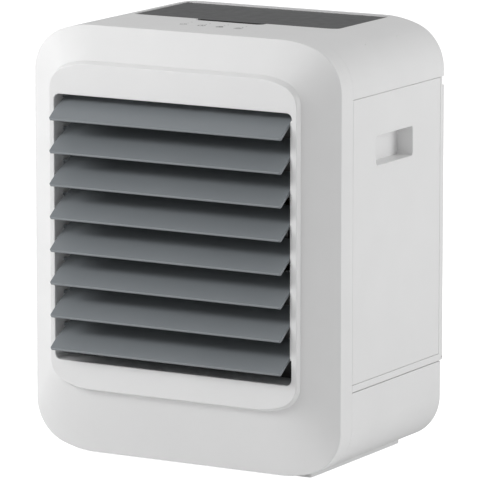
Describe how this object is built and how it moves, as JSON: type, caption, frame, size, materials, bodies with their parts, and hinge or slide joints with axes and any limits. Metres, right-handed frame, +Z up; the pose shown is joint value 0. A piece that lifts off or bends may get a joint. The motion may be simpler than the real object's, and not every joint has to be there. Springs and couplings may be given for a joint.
{
  "type": "tabletop evaporative cooler",
  "caption": "White tabletop evaporative cooler with swinging grey front louvres, a smoked filling lid, side handle pockets, rear intake grille and a water tank base.",
  "frame": {"origin": "on the floor, under the middle of the whole object's box", "axes": "+X to the right seen from the front, +Y towards the back, +Z up; the louvres face -Y"},
  "size_m": [0.32, 0.2354, 0.398],
  "materials": {
    "white_shell": "satin moulded white ABS",
    "white_panel": "satin moulded white ABS, slightly smoother",
    "louvre_grey": "satin slate-grey plastic",
    "smoked_lid": "smoked dark grey plastic",
    "dark_basin": "black plastic",
    "black_rubber": "black rubber",
    "grey_rubber": "light grey silicone rubber",
    "grey_shroud": "charcoal plastic",
    "black_wire": "black coated wire",
    "fan_plastic": "dark translucent polypropylene",
    "steel": "bright steel",
    "zinc_steel": "zinc-plated drawn steel",
    "bronze": "sintered bronze",
    "pad_paper": "wetted cellulose honeycomb",
    "filter_mesh": "fine nylon mesh",
    "silicone": "translucent silicone",
    "circuit_board": "green circuit board",
    "clear_guide": "clear acrylic",
    "black_socket": "black moulded nylon",
    "grey_print": "grey pad-printed key symbols"
  },
  "bodies": {
    "housing": {"base_screws": "steel", "base_shell": "white_shell", "board_screws": "steel", "control_board": "circuit_board", "cooling_pad": "pad_paper", "distributor_tray": "white_panel", "drain_bush": "dark_basin", "fan_guard": "black_wire", "fan_shroud": "grey_shroud", "fill_basin": "dark_basin", "fill_tube": "dark_basin", "foot_pads": "black_rubber", "front_frame": "white_shell", "front_panel": "white_panel", "inlet_socket": "black_socket", "left_foot_rail": "white_shell", "left_handle_cup": "white_shell", "left_side_panel": "white_shell", "light_guides": "clear_guide", "main_shell": "white_shell", "motor_bearings": "bronze", "motor_bracket": "grey_shroud", "motor_housing": "zinc_steel", "pad_frame": "white_panel", "power_board": "circuit_board", "pump_housing": "dark_basin", "pump_strainer": "dark_basin", "right_foot_rail": "white_shell", "right_handle_cup": "white_shell", "right_side_panel": "white_shell", "riser_hose": "silicone", "shroud_screws": "steel", "top_cover": "white_shell", "touch_springs": "steel"},
    "lid": {"lid": "smoked_lid"},
    "fan": {"fan_rotor": "fan_plastic", "fan_shaft": "steel", "fan_nut": "fan_plastic"},
    "impeller": {"pump_impeller": "fan_plastic"},
    "grille": {"rear_grille": "white_shell", "dust_filter": "filter_mesh"},
    "drain_plug": {"drain_plug": "grey_rubber"},
    "link": {"louvre_link": "white_panel"},
    "louvre_1": {"louvre_1": "louvre_grey"},
    "louvre_2": {"louvre_2": "louvre_grey"},
    "louvre_3": {"louvre_3": "louvre_grey"},
    "louvre_4": {"louvre_4": "louvre_grey"},
    "louvre_5": {"louvre_5": "louvre_grey"},
    "louvre_6": {"louvre_6": "louvre_grey"},
    "louvre_7": {"louvre_7": "louvre_grey"},
    "louvre_8": {"louvre_8": "louvre_grey"}
  },
  "joints": [
    {"name": "louvre_1_swing", "type": "hinge", "parent": "housing", "child": "louvre_1", "pos_m": [0, -0.0866, 0.33277], "axis": [1, 0, 0], "range_deg": [-18, 20]},
    {"name": "louvre_2_swing", "type": "hinge", "parent": "housing", "child": "louvre_2", "pos_m": [0, -0.0866, 0.30253], "axis": [1, 0, 0], "range_deg": [-18, 20]},
    {"name": "louvre_3_swing", "type": "hinge", "parent": "housing", "child": "louvre_3", "pos_m": [0, -0.0866, 0.27229], "axis": [1, 0, 0], "range_deg": [-18, 20]},
    {"name": "louvre_4_swing", "type": "hinge", "parent": "housing", "child": "louvre_4", "pos_m": [0, -0.0866, 0.24205], "axis": [1, 0, 0], "range_deg": [-18, 20]},
    {"name": "louvre_5_swing", "type": "hinge", "parent": "housing", "child": "louvre_5", "pos_m": [0, -0.0866, 0.21181], "axis": [1, 0, 0], "range_deg": [-18, 20]},
    {"name": "louvre_6_swing", "type": "hinge", "parent": "housing", "child": "louvre_6", "pos_m": [0, -0.0866, 0.18157], "axis": [1, 0, 0], "range_deg": [-18, 20]},
    {"name": "louvre_7_swing", "type": "hinge", "parent": "housing", "child": "louvre_7", "pos_m": [0, -0.0866, 0.15133], "axis": [1, 0, 0], "range_deg": [-18, 20]},
    {"name": "louvre_8_swing", "type": "hinge", "parent": "housing", "child": "louvre_8", "pos_m": [0, -0.0866, 0.12109], "axis": [1, 0, 0], "range_deg": [-18, 20]},
    {"name": "link_pivot", "type": "hinge", "parent": "louvre_1", "child": "link", "pos_m": [0.1217, -0.0981, 0.32711], "axis": [1, 0, 0], "range_deg": [-20, 18]},
    {"name": "lid_hinge", "type": "hinge", "parent": "housing", "child": "lid", "pos_m": [0, 0.1082, 0.3945], "axis": [-1, 0, 0], "range_deg": [0, 92]},
    {"name": "grille_hinge", "type": "hinge", "parent": "housing", "child": "grille", "pos_m": [0, 0.1161, 0.0831], "axis": [-1, 0, 0], "range_deg": [0, 75]},
    {"name": "fan_spin", "type": "hinge", "parent": "housing", "child": "fan", "pos_m": [0, -0.043, 0.214], "axis": [0, 1, 0], "continuous": true},
    {"name": "impeller_spin", "type": "hinge", "parent": "housing", "child": "impeller", "pos_m": [0.112, 0.064, 0.03], "axis": [0, 0, 1], "continuous": true},
    {"name": "drain_pull", "type": "slide", "parent": "housing", "child": "drain_plug", "axis": [0, 1, 0], "range_m": [0, 0.03]}
  ],
  "couplings": [
    {"joint": "louvre_2_swing", "follows": "louvre_1_swing", "ratio": 1},
    {"joint": "louvre_3_swing", "follows": "louvre_1_swing", "ratio": 1},
    {"joint": "louvre_4_swing", "follows": "louvre_1_swing", "ratio": 1},
    {"joint": "louvre_5_swing", "follows": "louvre_1_swing", "ratio": 1},
    {"joint": "louvre_6_swing", "follows": "louvre_1_swing", "ratio": 1},
    {"joint": "louvre_7_swing", "follows": "louvre_1_swing", "ratio": 1},
    {"joint": "louvre_8_swing", "follows": "louvre_1_swing", "ratio": 1},
    {"joint": "link_pivot", "follows": "louvre_1_swing", "ratio": -1}
  ]
}
